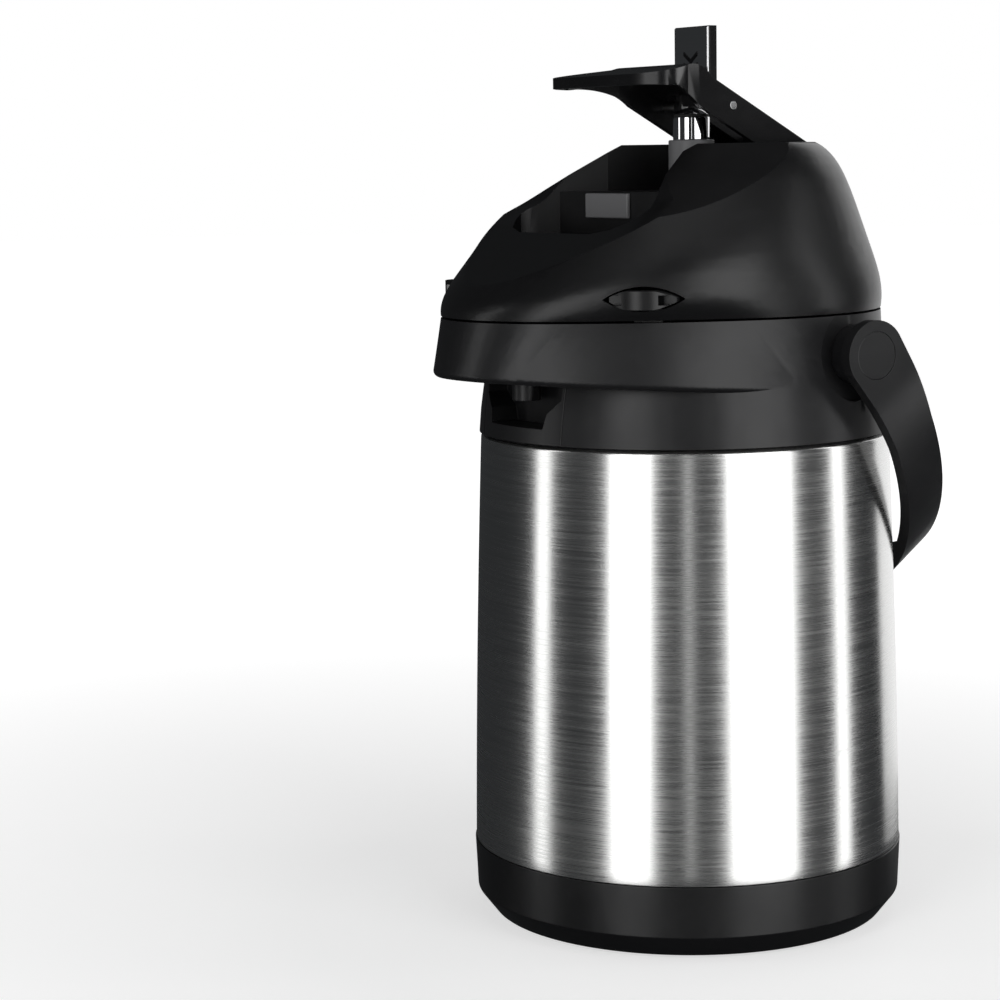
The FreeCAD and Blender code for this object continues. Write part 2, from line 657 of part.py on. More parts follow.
def beside_lever(drop):
    """Two leaning planes that slice the dome beside the lever, as a tool to cut away."""
    tools = []
    for side in (1, -1):
        corners = []
        for across_x, back in ((22, -60), (120, -60), (120, 80), (22, 80)):
            height = size("slice_height") - size("slice_lean") * across_x + size("slice_climb") * back - drop
            corners.append(Vector(side * across_x, back, height))
        face = Part.Face(Part.makePolygon(corners + corners[:1]))
        tools.append(face.extrude(Vector(0, 0, 90)))
    return tools[0].fuse(tools[1])


def well_outline(grow):
    """Plan of the well that the lever folds into, half of it mirrored."""
    half = size("well_half_width") + grow
    front_half = size("well_front_half") + grow
    front = -size("well_front") - grow
    rear = size("well_rear") + grow
    right_side = [(half, rear), (half, -17), (front_half - 2.5, -39.5), (front_half - 0.5, -43),
                  (front_half, -46.5), (front_half - 2, front + 7.5), (front_half - 7, front + 2.8),
                  (front_half - 16, front)]
    return right_side + [(-across_x, back) for across_x, back in reversed(right_side)]


def make_lid():
    wall = size("lid_wall")
    seam = size("collar_top") + size("seam_gap")
    outer = lofted(lid_sections()).common(below_hood(0.0)).cut(beside_lever(0.0))
    inner = lofted(lid_sections(wall), wall).common(below_hood(wall * 1.25)).cut(beside_lever(wall * 1.15))
    well_low = size("well_floor") - size("well_wall")
    tub = prism(well_outline(size("well_wall")), well_low, 300, "Z")
    room = prism(well_outline(0), size("well_floor"), 300, "Z")
    deck_low = size("well_deck") - size("well_wall")
    step = -size("well_step")
    under_deck = Part.makeBox(100, 200, deck_low - well_low + 5,
                              Vector(-50, step + size("well_wall"), well_low - 5))
    deck_fill = Part.makeBox(100, 200, size("well_deck") - size("well_floor") + 5,
                             Vector(-50, step, size("well_floor") - 5))
    tub_solid = tub.cut(under_deck)
    room = room.cut(deck_fill)
    hollow = inner.cut(tub_solid)
    shell = outer.cut(hollow).cut(room)

    guide_bore = size("stem_radius") + size("guide_wall")
    centre = Vector(0, size("plunger_back"), 0)
    shell = shell.cut(Part.makeCylinder(guide_bore, 60, centre + Vector(0, 0, 240)))

    hinge = hinge_point()
    lug_half = size("lug_half")
    lug = Part.makeBox(2 * lug_half, 9.5, 5.0, Vector(-lug_half, hinge.y - 9.5, seam + 0.3))
    barrel = across(-lug_half, hinge.y, hinge.z, size("hinge_barrel"), 2 * lug_half)
    pin_hole = across(-30, hinge.y, hinge.z, size("hinge_pin_radius") + size("running_gap"), 60)
    shell = shell.fuse(lug.fuse(barrel)).cut(pin_hole)
    lever_pin_hole = across(-60, size("lever_hinge_back"), size("lever_hinge_height"),
                            size("lever_pin_radius") + size("running_gap"), 120)
    lever_pin_hole = lever_pin_hole.common(Part.makeBox(52.4, 200, 400, Vector(-26.2, -60, 0)))
    shell = shell.cut(lever_pin_hole)
    for side in (1, -1):
        window = almond(size("latch_width") / 2 + 2.0, size("latch_height") / 2 + 1.2)
        window.Placement = latch_frame(side)
        shell = shell.cut(window)
    feature("lid_shell", shell.removeSplitter())

    inset = wall + size("part_gap") + 1.2
    first = lid_sections()[0]
    plate_rim = egg_outline(first[1] - inset, first[2] - inset, first[3] - inset, first[4] - inset, seam)
    plate = Part.Face(plate_rim).extrude(Vector(0, 0, size("plate_thickness")))
    boss = Part.makeCylinder(size("boss_radius"), size("boss_depth"), Vector(0, 0, seam - size("boss_depth")))
    plate = plate.fuse(boss)
    plate = plate.cut(Part.makeCylinder(20.0, 30, Vector(0, 0, seam - 10)))
    for side in (1, -1):
        slot = Part.makeBox(8.5, 13, 20, Vector(65.5, -6.5, seam - 6))
        stop = Part.makeBox(3.0, 10, 9.0, Vector(58.0, -5, seam + size("plate_thickness") - 0.5))
        slot.Placement = latch_frame(side)
        stop.Placement = latch_frame(side)
        plate = plate.fuse(stop).cut(slot)
    screw_spots = [(46, 30), (-46, 30), (30, 52), (-30, 52)]
    screws = []
    plate_top = seam + size("plate_thickness")
    for across_x, back in screw_spots:
        spot = Vector(across_x, back, seam)
        plate = plate.cut(Part.makeCylinder(1.6, 20, spot - Vector(0, 0, 5)))
        screw = Part.makeCylinder(1.5, 9, Vector(across_x, back, seam))
        head = Part.makeCylinder(3.0, 1.4, Vector(across_x, back, plate_top + 0.1))
        screws.append(screw.fuse(head))
    feature("lid_base_plate", plate)
    feature("lid_screws", Part.makeCompound(screws))

    seal_low = seam - size("boss_depth") - size("seal_height")
    feature("pump_seal", revolved([(26, seal_low), (36, seal_low), (36, seam - size("boss_depth")),
                                   (26, seam - size("boss_depth"))]))
    rest_low = size("well_floor") + 6.5
    rest = Part.makeBox(27, 1.6, 9, Vector(-13.5, step - 1.6, rest_low))
    feature("lever_rest", rounded(rest, 0.6, lambda edge: abs(edge.CenterOfMass.y - step + 1.6) < 0.01))


# ---------------------------------------------------------------- pump


def make_pump():
    seam = size("collar_top") + size("seam_gap")
    plate_top = seam + size("plate_thickness")
    top = size("bellows_top")
    back = size("plunger_back")
    radius = size("bellows_radius")
    folds = 5
    low = plate_top + 0.1
    pitch = (top - low) / folds
    outside = []
    inside = []
    for index in range(folds):
        base = low + index * pitch
        outside += [(radius - 4, base), (radius, base + pitch / 2)]
        inside += [(radius - 5.2, base), (radius - 1.2, base + pitch / 2)]
    outside.append((radius - 4, top))
    inside.append((radius - 5.2, top))
    bellows = revolved(outside + inside[::-1])
    bellows.translate(Vector(0, back, 0))
    feature("bellows", bellows)
    spring = revolved([(9.4, low), (11, low), (11, top), (9.4, top)])
    spring.translate(Vector(0, back, 0))
    feature("return_spring", spring)

    centre = Vector(0, back, 0)
    plate = Part.makeCylinder(radius - 3, 2.4, centre + Vector(0, 0, top + 0.1))
    feature("bellows_plate", plate)
    stem_low = top + 2.5
    stem_top = size("stem_top")
    feature("plunger_stem", Part.makeCylinder(size("stem_radius"), stem_top - stem_low,
                                              centre + Vector(0, 0, stem_low)))
    chrome = size("chrome_radius")
    groove = size("groove_height")
    ring_low = size("chrome_top")
    dome_low = ring_low + groove
    dome = size("dome_height")
    sphere_radius = (chrome ** 2 + dome ** 2) / (2 * dome)
    cap = Part.makeSphere(sphere_radius, centre + Vector(0, 0, dome_low + dome - sphere_radius))
    cap = cap.common(Part.makeCylinder(chrome, 20, centre + Vector(0, 0, dome_low)))
    head = Part.makeCylinder(chrome, ring_low - stem_top, centre + Vector(0, 0, stem_top))
    core = Part.makeCylinder(chrome - 1.6, groove, centre + Vector(0, 0, ring_low))
    feature("plunger_head", head.fuse(core).fuse(cap))
    ring = Part.makeCylinder(chrome - 0.3, groove - 0.1, centre + Vector(0, 0, ring_low + 0.05))
    feature("plunger_ring", ring.cut(Part.makeCylinder(chrome - 1.6, 5, centre + Vector(0, 0, ring_low - 1))))

    deck = size("well_deck")
    guide_low = deck - size("well_wall")
    guide = Part.makeCylinder(size("stem_radius") + size("guide_wall") - 0.05,
                              size("well_wall") + size("guide_rise"), centre + Vector(0, 0, guide_low))
    flange = Part.makeCylinder(size("stem_radius") + size("guide_wall") + 1.5, 1.2,
                               centre + Vector(0, 0, deck + 0.05))
    bore = Part.makeCylinder(size("stem_radius") + size("running_gap"), 40, centre + Vector(0, 0, guide_low - 5))
    feature("plunger_guide", guide.fuse(flange).cut(bore))


# ---------------------------------------------------------------- lever


def lever_profile(skin):
    """Side outline of the lever: hinge round, arm, ridge and paddle. A positive skin gives its hollow."""
    slope = math.radians(size("arm_slope"))
    hinge = Vector(0, size("lever_hinge_back"), size("lever_hinge_height"))
    half = size("arm_half_depth") - skin
    forward = Vector(0, -math.cos(slope), math.sin(slope))
    normal = Vector(0, math.sin(slope), math.cos(slope))
    ridge_distance = (hinge.y + size("ridge_front")) / math.cos(slope)
    ridge = hinge + forward * ridge_distance + normal * half
    drop = 6.0 if skin > 0 else 0.0
    start = hinge + forward * (5.0 if skin > 0 else 0.0)
    top_start = start + normal * half
    lip_front = -size("paddle_front") + skin
    lip_top = Vector(0, lip_front, size("lip_top") - skin)
    lip_bottom = Vector(0, lip_front, size("lip_bottom") - drop)
    low_bend = hinge + forward * (ridge_distance - 6.5) - normal * (half + 2 * skin)
    low_start = start - normal * (half + 2 * skin)
    before = ridge - forward * 7.0
    crown = Vector(0, ridge.y, ridge.z + 0.9)
    to_lip = (lip_top - ridge).normalize()
    after = ridge + to_lip * 6.0 + Vector(0, 0, 0.9)
    edges = [
        Part.makeLine(top_start, before),
        Part.Arc(before, crown, after).toShape(),
        Part.makeLine(after, lip_top),
        Part.makeLine(lip_top, lip_bottom),
    ]
    flat_end = Vector(0, -29.0, lip_bottom.z - 0.4)
    edges.append(Part.makeLine(lip_bottom, flat_end))
    edges.append(Part.Arc(flat_end, Vector(0, -16.5, lip_bottom.z - 1.9), low_bend).toShape())
    edges.append(Part.makeLine(low_bend, low_start))
    if skin > 0:
        edges.append(Part.makeLine(low_start, top_start))
    else:
        edges.append(Part.Arc(low_start, hinge - forward * half, top_start).toShape())
    return Part.Face(Part.Wire(edges))


def lever_plan(inset):
    half = size("arm_half_width") - inset
    front_half = size("paddle_half_width") - inset
    front = -size("paddle_front") + inset
    right_side = [
        Vector(half, 60, 250), Vector(half, -8, 250), Vector(half + 0.9, -14, 250),
        Vector(front_half - 2.2, -24, 250), Vector(front_half, -30, 250),
        Vector(front_half - 0.4, front + 4.5, 250), Vector(front_half - 3.5, front + 1.4, 250),
        Vector(front_half - 11, front, 250)]
    left_side = [Vector(-point.x, point.y, point.z) for point in reversed(right_side)]
    corners = right_side + left_side
    return Part.Face(Part.makePolygon(corners + corners[:1])).extrude(Vector(0, 0, 100))


def make_lever():
    skin = size("lever_skin")
    outer = lever_profile(0)
    outer.translate(Vector(-60, 0, 0))
    outer = outer.extrude(Vector(120, 0, 0)).common(lever_plan(0))
    hollow = lever_profile(skin)
    hollow.translate(Vector(-60, 0, 0))
    hollow = hollow.extrude(Vector(120, 0, 0)).common(lever_plan(skin))
    body = outer.cut(hollow)
    slot = Part.makeBox(2 * size("tab_half_width") + 1.2, 33.5, 60,
                        Vector(-size("tab_half_width") - 0.6, size("tab_face") - 0.9, 284))
    body = body.cut(slot)
    reach = size("arm_half_width") + 5
    gap = size("running_gap")
    body = body.cut(across(-reach, size("lever_hinge_back"), size("lever_hinge_height"),
                           size("lever_pin_radius") + gap, 2 * reach))
    body = body.cut(across(-reach, size("lock_pin_back"), size("lock_pin_height"),
                           size("lock_pin_radius") + 0.01, 2 * reach))
    feature("lever", body.removeSplitter())
    pin_half = size("well_half_width") + size("well_wall")
    keep(cylinder("lever_axle", "lever_pin_radius", "2 * ( well_half_width + well_wall )",
                  x="0 - well_half_width - well_wall", y="lever_hinge_back", z="lever_hinge_height",
                  axis="X"), "lever_hinge_pin")
    assert pin_half > size("arm_half_width")
    ear_inner = size("tab_half_width") - 3.0
    for side, label in ((1, "lock_pin_right"), (-1, "lock_pin_left")):
        length = size("arm_half_width") + 0.1 - ear_inner
        start = ear_inner if side > 0 else -ear_inner - length
        feature(label, across(start, size("lock_pin_back"), size("lock_pin_height"),
                              size("lock_pin_radius"), length))


def make_lock():
    half = size("tab_half_width")
    face = size("tab_face") + size("tab_plate")
    back = size("tab_back")
    pin_back = size("lock_pin_back")
    pin_height = size("lock_pin_height")
    body = Part.makeBox(2 * half, back - face, size("tab_top") - pin_height - 4.9,
                        Vector(-half, face, pin_height + 4.9))
    tongue = Part.makeBox(13.0, 1.9, 5.2, Vector(-6.5, face, pin_height + 0.05))
    body = body.fuse(tongue)
    for side in (1, -1):
        start = half - 2.9 if side > 0 else -half
        cheek = across(start, pin_back, pin_height, 3.0, 2.9)
        web = Part.makeBox(2.9, back - face, 5.5, Vector(start, face, pin_height))
        body = body.fuse(cheek.fuse(web))
    body = body.cut(across(-20, pin_back, pin_height, size("lock_pin_radius") + size("running_gap"), 40))
    feature("lock_body", body.removeSplitter())
    plate = Part.makeBox(2 * half - 0.6, size("tab_plate"), size("tab_top") - pin_height - 5.6,
                         Vector(-half + 0.3, size("tab_face"), pin_height + 5.3))
    plate = rounded(plate, 0.5, lambda edge: abs(edge.CenterOfMass.y - size("tab_face")) < 0.01)
    feature("lock_plate", plate)


# ---------------------------------------------------------------- latches


def almond(half_length, half_height):
    """Bar along X with a pointed oval section, centred on the latch."""
    middle = size("latch_low") + size("latch_height") / 2
    left = Vector(40, -half_length, middle)
    right = Vector(40, half_length, middle)
    upper = Part.Arc(left, Vector(40, 0, middle + half_height), right).toShape()
    lower = Part.Arc(right, Vector(40, 0, middle - half_height), left).toShape()
    return Part.Face(Part.Wire([upper, lower])).extrude(Vector(70, 0, 0))


def make_latches():
    low = size("latch_low")
    height = size("latch_height")
    root = size("latch_root")
    reach = size("latch_reach")
    half = size("latch_width") / 2
    skin = size("latch_skin")
    seam = size("collar_top") + size("seam_gap")

    def lens(drawn_in, bottom, thickness):
        tip = half - drawn_in
        out = reach - drawn_in
        start = Vector(root, -tip, bottom)
        end = Vector(root, tip, bottom)
        bow = Part.Arc(start, Vector(root + out, 0, bottom), end).toShape()
        back_left = Vector(root - 4.5, -tip, bottom)
        back_right = Vector(root - 4.5, tip, bottom)
        edges = [bow, Part.makeLine(end, back_right), Part.makeLine(back_right, back_left),
                 Part.makeLine(back_left, start)]
        return Part.Face(Part.Wire(edges)).extrude(Vector(0, 0, thickness))

    for side, name in ((1, "right"), (-1, "left")):
        button = lens(0, low, height)
        slot = lens(skin, low + skin, height - 2 * skin)
        through = Part.makeBox(reach - skin - 0.8, 40, height - 2 * skin, Vector(root + 0.6, -20, low + skin))
        button = button.cut(slot.common(Part.makeBox(60, 60, 60, Vector(root + 0.6, -30, low - 10))))
        button = button.cut(through)
        stem = Part.makeBox(root - 4.4 - 68.0, 8, 3.2, Vector(68.0, -4, low + 1.6))
        tongue = Part.makeBox(2.4, 10, low + 3.0 - seam + 2.6, Vector(70.4, -5, seam - 2.6))
        button = button.common(almond(half + 1.2, height / 2 + 0.5))
        latch = button.fuse(stem).fuse(tongue).removeSplitter()
        latch.Placement = latch_frame(side)
        feature("latch_" + name, latch)
        spring = Part.makeCylinder(1.8, 3.4, Vector(61.2, 0, low + 3.2), X_AXIS)
        spring = spring.cut(Part.makeCylinder(1.2, 8, Vector(60.5, 0, low + 3.2), X_AXIS))
        spring.Placement = latch_frame(side)
        feature("latch_spring_" + name, spring)


# ---------------------------------------------------------------- carrying handle


def make_handle():
    outer_x = size("handle_outer")
    inner_x = outer_x - size("strap_thickness")
    arm = size("arm_length")
    half = size("strap_half_width")
    eye = size("eye_radius")
    deep = size("bow_depth")

    def bow(half_width, depth):
        """Plan of the U: two straight arms closed by half of an oval a little leaner than an ellipse."""
        power = 2 / size("bow_fullness")
        steps = 20
        points = []
        for index in range(steps + 1):
            turn = math.pi * index / steps
            side_way = abs(math.cos(turn)) ** power * (1 if turn < math.pi / 2 else -1)
            points.append(Vector(half_width * side_way, arm + depth * abs(math.sin(turn)) ** power, 0))
        points[0] = Vector(half_width, arm, 0)
        points[-1] = Vector(-half_width, arm, 0)
        spline = Part.BSplineCurve()
        spline.interpolate(Points=points, InitialTangent=Vector(0, 1, 0), FinalTangent=Vector(0, -1, 0))
        curve = spline.toShape()
        lines = Part.makePolygon([Vector(-half_width, arm, 0), Vector(-half_width, -eye - 5, 0),
                                  Vector(half_width, -eye - 5, 0), Vector(half_width, arm, 0)])
        face = Part.Face(Part.Wire([curve] + lines.Edges))
        face.translate(Vector(0, 0, -30))
        return face.extrude(Vector(0, 0, 60))

    strap = bow(outer_x, deep).cut(bow(inner_x, deep - size("strap_thickness")))
    reach = arm + deep + 5
    edges = [
        Part.Arc(Vector(0, 0, eye), Vector(0, -eye, 0), Vector(0, 0, -eye)).toShape(),
        Part.makeLine(Vector(0, 0, -eye), Vector(0, 36, -half)),
        Part.makeLine(Vector(0, 36, -half), Vector(0, reach, -half)),
        Part.makeLine(Vector(0, reach, -half), Vector(0, reach, half)),
        Part.makeLine(Vector(0, reach, half), Vector(0, 36, half)),
        Part.makeLine(Vector(0, 36, half), Vector(0, 0, eye)),
    ]
    side = Part.Face(Part.Wire(edges))
    side.translate(Vector(-100, 0, 0))
    strap = strap.common(side.extrude(Vector(200, 0, 0)))
    hole = Part.makeCylinder(size("pivot_pin_radius") + size("running_gap"), 200, Vector(-100, 0, 0), X_AXIS)
    strap = strap.cut(hole)
    cap_depth = size("cap_depth")
    for side_sign in (1, -1):
        start = outer_x - cap_depth if side_sign > 0 else -outer_x - 5
        strap = strap.cut(Part.makeCylinder(size("cap_radius") + 0.05, cap_depth + 5, Vector(start, 0, 0), X_AXIS))
    pivot = Vector(0, size("pivot_back"), size("pivot_height"))
    hang = FreeCAD.Placement(pivot, FreeCAD.Rotation(X_AXIS, -size("hang_angle")))
    strap.Placement = hang
    feature("handle", strap)

    for side_sign, name in ((1, "right"), (-1, "left")):
        seat = size("boss_seat")
        face = outer_x - size("strap_thickness") - 0.4

        def from_side(radius, low, high):
            start = low if side_sign > 0 else -high
            return across(start, pivot.y, pivot.z, radius, high - low)

        boss = from_side(size("boss_ring_radius"), seat, face)
        boss = boss.cut(from_side(size("pivot_pin_radius") + size("running_gap"), seat - 5, face + 5))
        feature("pivot_boss_" + name, boss)
        pin_end = outer_x - cap_depth - 0.2
        head_start = seat - 4.5 - size("pin_head")
        pin = from_side(size("pivot_pin_radius"), head_start, pin_end)
        pin = pin.fuse(from_side(size("pin_head_radius"), head_start, seat - 4.5))
        feature("pivot_pin_" + name, pin)
        cap = from_side(size("cap_radius"), outer_x - cap_depth, outer_x - 0.1)
        feature("pivot_cap_" + name, cap)


def make_hinge_pin():
    keep(cylinder("lid_axle", "hinge_pin_radius", "2 * ear_outer", x="0 - ear_outer", y="hinge_back",
                  z="hinge_height", axis="X"), "lid_hinge_pin")


make_base()
make_flask()
make_collar()
make_liquid_path()
make_lid()
make_pump()
make_lever()
make_lock()
make_latches()
make_handle()
make_hinge_pin()
doc.recompute()

for item in doc.Objects:
    if "Invalid" in item.State or "Error" in item.State:
        raise RuntimeError("%s failed to recompute" % item.Name)
for node in NODES:
    if node.Shape.isNull() or not node.Shape.isValid():
        raise RuntimeError("%s has no valid shape" % node.Label)

os.makedirs("parts", exist_ok=True)
for node in NODES:
    node.Shape.exportStep("parts/%s.step" % node.Label)
    print("%-22s solids %2d  volume %10.1f" % (node.Label, len(node.Shape.Solids), node.Shape.Volume))
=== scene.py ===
import json
import math

import bmesh
import bpy
from mathutils import Matrix, Vector


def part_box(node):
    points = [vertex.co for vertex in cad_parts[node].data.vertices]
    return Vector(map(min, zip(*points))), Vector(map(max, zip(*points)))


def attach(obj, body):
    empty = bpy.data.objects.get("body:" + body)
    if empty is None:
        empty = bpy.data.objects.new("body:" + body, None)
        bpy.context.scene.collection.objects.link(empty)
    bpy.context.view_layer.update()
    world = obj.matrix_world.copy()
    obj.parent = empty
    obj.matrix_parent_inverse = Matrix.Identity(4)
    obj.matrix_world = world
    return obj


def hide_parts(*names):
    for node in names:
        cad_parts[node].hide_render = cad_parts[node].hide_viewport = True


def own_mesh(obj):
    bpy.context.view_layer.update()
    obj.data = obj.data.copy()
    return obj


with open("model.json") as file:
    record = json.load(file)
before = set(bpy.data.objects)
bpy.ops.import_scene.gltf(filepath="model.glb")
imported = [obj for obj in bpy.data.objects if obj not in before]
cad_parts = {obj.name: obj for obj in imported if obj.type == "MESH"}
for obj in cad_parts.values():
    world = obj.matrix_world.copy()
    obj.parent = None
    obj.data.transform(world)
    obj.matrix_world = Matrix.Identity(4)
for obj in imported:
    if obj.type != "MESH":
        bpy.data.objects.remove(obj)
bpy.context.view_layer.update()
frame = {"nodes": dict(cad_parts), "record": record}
record = frame["record"]

MM = 0.001


# ------------------------------------------------------------------ shared finishes


def value_group(name, inputs, outputs):
    """An empty shader node group with float, colour or vector sockets."""
    group = bpy.data.node_groups.new(name, "ShaderNodeTree")
    for label, kind, default in inputs:
        socket = group.interface.new_socket(label, in_out="INPUT", socket_type=kind)
        if default is not None:
            socket.default_value = default
    for label, kind in outputs:
        group.interface.new_socket(label, in_out="OUTPUT", socket_type=kind)
    entry = group.nodes.new("NodeGroupInput")
    leave = group.nodes.new("NodeGroupOutput")
    return group, entry, leave


def noise(tree, vector, scale, detail, rough=0.55):
    node = tree.nodes.new("ShaderNodeTexNoise")
    node.inputs["Scale"].default_value = scale
    node.inputs["Detail"].default_value = detail
    node.inputs["Roughness"].default_value = rough
    tree.links.new(vector, node.inputs["Vector"])
    return node.outputs["Fac"]


def stretched(tree, vector, scale):
    node = tree.nodes.new("ShaderNodeMapping")
    node.inputs["Scale"].default_value = scale
    tree.links.new(vector, node.inputs["Vector"])
    return node.outputs["Vector"]


def ranged(tree, value, low, high, from_low=0.3, from_high=0.7):
    node = tree.nodes.new("ShaderNodeMapRange")
    node.inputs["From Min"].default_value = from_low
    node.inputs["From Max"].default_value = from_high
    for name, limit in (("To Min", low), ("To Max", high)):
        if isinstance(limit, (int, float)):
            node.inputs[name].default_value = limit
        else:
            tree.links.new(limit, node.inputs[name])
    tree.links.new(value, node.inputs["Value"])
    return node.outputs["Result"]


def combined(tree, operation, first, second):
    node = tree.nodes.new("ShaderNodeMath")
    node.operation = operation
    for index, item in enumerate((first, second)):
        if isinstance(item, (int, float)):
            node.inputs[index].default_value = item
        else:
            tree.links.new(item, node.inputs[index])
    return node.outputs["Value"]


def blended(tree, factor, first, second):
    node = tree.nodes.new("ShaderNodeMix")
    node.data_type = "RGBA"
    colours = [socket for socket in node.inputs if socket.type == "RGBA"]
    tree.links.new(factor, [s for s in node.inputs if s.name == "Factor" and s.type == "VALUE"][0])
    for socket, item in zip(colours, (first, second)):
        if isinstance(item, (tuple, list)):
            socket.default_value = item
        else:
            tree.links.new(item, socket)
    return [socket for socket in node.outputs if socket.type == "RGBA"][0]


def moulded_skin_group():
    """Moulded plastic: a fine spark-eroded grain, slow mottling and faint handling marks."""
    group, entry, leave = value_group(
        "moulded_skin",
        [("Colour", "NodeSocketColor", (0.02, 0.02, 0.02, 1)),
         ("Worn Colour", "NodeSocketColor", (0.05, 0.05, 0.05, 1)),
         ("Smooth", "NodeSocketFloat", 0.34), ("Rough", "NodeSocketFloat", 0.46),
         ("Grain", "NodeSocketFloat", 1.0)],
        [("Colour", "NodeSocketColor"), ("Roughness", "NodeSocketFloat"), ("Height", "NodeSocketFloat")])
    links = group.links
    where = group.nodes.new("ShaderNodeTexCoord").outputs["Object"]
    slow = noise(group, where, 22, 3)
    marks = noise(group, stretched(group, where, (90, 40, 130)), 2.2, 5, 0.7)
    grain = noise(group, where, 2600, 2)
    pebble = noise(group, where, 900, 3)
    worn = ranged(group, marks, 0.0, 0.35, 0.56, 0.8)
    colour = blended(group, worn, entry.outputs["Colour"], entry.outputs["Worn Colour"])
    links.new(colour, leave.inputs["Colour"])
    base = ranged(group, slow, entry.outputs["Smooth"], entry.outputs["Rough"])
    smeared = combined(group, "ADD", base, combined(group, "MULTIPLY", marks, 0.06))
    links.new(smeared, leave.inputs["Roughness"])
    fine = combined(group, "MULTIPLY", grain, 0.6)
    relief = combined(group, "ADD", fine, combined(group, "MULTIPLY", pebble, 0.8))
    links.new(combined(group, "MULTIPLY", relief, entry.outputs["Grain"]), leave.inputs["Height"])
    return group


def brushed_round_group():
    """Metal brushed while it turns: hair lines that run round the pot, of uneven length and depth."""
    group, entry, leave = value_group(
        "brushed_round",
        [("Bright", "NodeSocketColor", (0.78, 0.78, 0.77, 1)),
         ("Shade", "NodeSocketColor", (0.6, 0.6, 0.6, 1)),
         ("Smooth", "NodeSocketFloat", 0.2), ("Rough", "NodeSocketFloat", 0.34)],
        [("Colour", "NodeSocketColor"), ("Roughness", "NodeSocketFloat"), ("Height", "NodeSocketFloat")])
    links = group.links
    where = group.nodes.new("ShaderNodeTexCoord").outputs["Object"]
    hair = noise(group, stretched(group, where, (14, 14, 5200)), 1.0, 4, 0.65)
    strokes = noise(group, stretched(group, where, (34, 34, 1300)), 1.0, 3, 0.6)
    cloud = noise(group, where, 9, 3)
    fine = combined(group, "MULTIPLY", hair, 0.6)
    both = combined(group, "ADD", fine, combined(group, "MULTIPLY", strokes, 0.4))
    lit = ranged(group, both, 0.0, 1.0, 0.35, 0.65)
    colour = blended(group, lit, entry.outputs["Shade"], entry.outputs["Bright"])
    links.new(colour, leave.inputs["Colour"])
    lines = combined(group, "MULTIPLY", both, 0.7)
    uneven = combined(group, "ADD", lines, combined(group, "MULTIPLY", cloud, 0.3))
    shine = ranged(group, uneven, entry.outputs["Smooth"], entry.outputs["Rough"], 0.38, 0.62)
    links.new(shine, leave.inputs["Roughness"])
    links.new(both, leave.inputs["Height"])
    return group


SKIN = moulded_skin_group()
BRUSHED = brushed_round_group()


def finish_material(name, group, settings, bump, distance, **constants):
    """A material whose colour, roughness and relief come from one of the groups."""
    material = bpy.data.materials.new(name)
    material.use_nodes = True
    tree = material.node_tree
    shader = tree.nodes["Principled BSDF"]
    node = tree.nodes.new("ShaderNodeGroup")
    node.node_tree = group
    for label, value in settings.items():
        node.inputs[label].default_value = value
    tree.links.new(node.outputs["Colour"], shader.inputs["Base Color"])
    tree.links.new(node.outputs["Roughness"], shader.inputs["Roughness"])
    relief = tree.nodes.new("ShaderNodeBump")
    relief.inputs["Strength"].default_value = bump
    relief.inputs["Distance"].default_value = distance
    tree.links.new(node.outputs["Height"], relief.inputs["Height"])
    tree.links.new(relief.outputs["Normal"], shader.inputs["Normal"])
    for label, value in constants.items():
        shader.inputs[label.replace("_", " ")].default_value = value
    return material


def plastic(name, shade, smooth, rough, grain=1.0, bump=0.12, lift=1.9, gloss=0.42, **constants):
    constants.setdefault("Specular_IOR_Level", gloss)
    colour = (shade[0], shade[1], shade[2], 1)
    worn = tuple(min(1.0, part * lift) for part in shade) + (1,)
    settings = {"Colour": colour, "Worn Colour": worn, "Smooth": smooth, "Rough": rough, "Grain": grain}
    return finish_material(name, SKIN, settings, bump, 0.00004, **constants)


def metal(name, bright, shade, smooth, rough, bump, **constants):
    return finish_material(name, BRUSHED, {"Bright": bright + (1,), "Shade": shade + (1,), "Smooth": smooth,
                                           "Rough": rough}, bump, 0.00002, Metallic=1.0, **constants)


def brushed_round_the_axis(material, strength):
    """Stretches a metal's highlights along the pot's height, as fine brushing round it does."""
    tree = material.node_tree
    shader = tree.nodes["Principled BSDF"]
    shader.inputs["Anisotropic"].default_value = strength
    shader.inputs["Anisotropic Rotation"].default_value = 0.25
    round_way = tree.nodes.new("ShaderNodeTangent")
    round_way.direction_type = "RADIAL"
    round_way.axis = "Z"
    tree.links.new(round_way.outputs["Tangent"], shader.inputs["Tangent"])
    return material


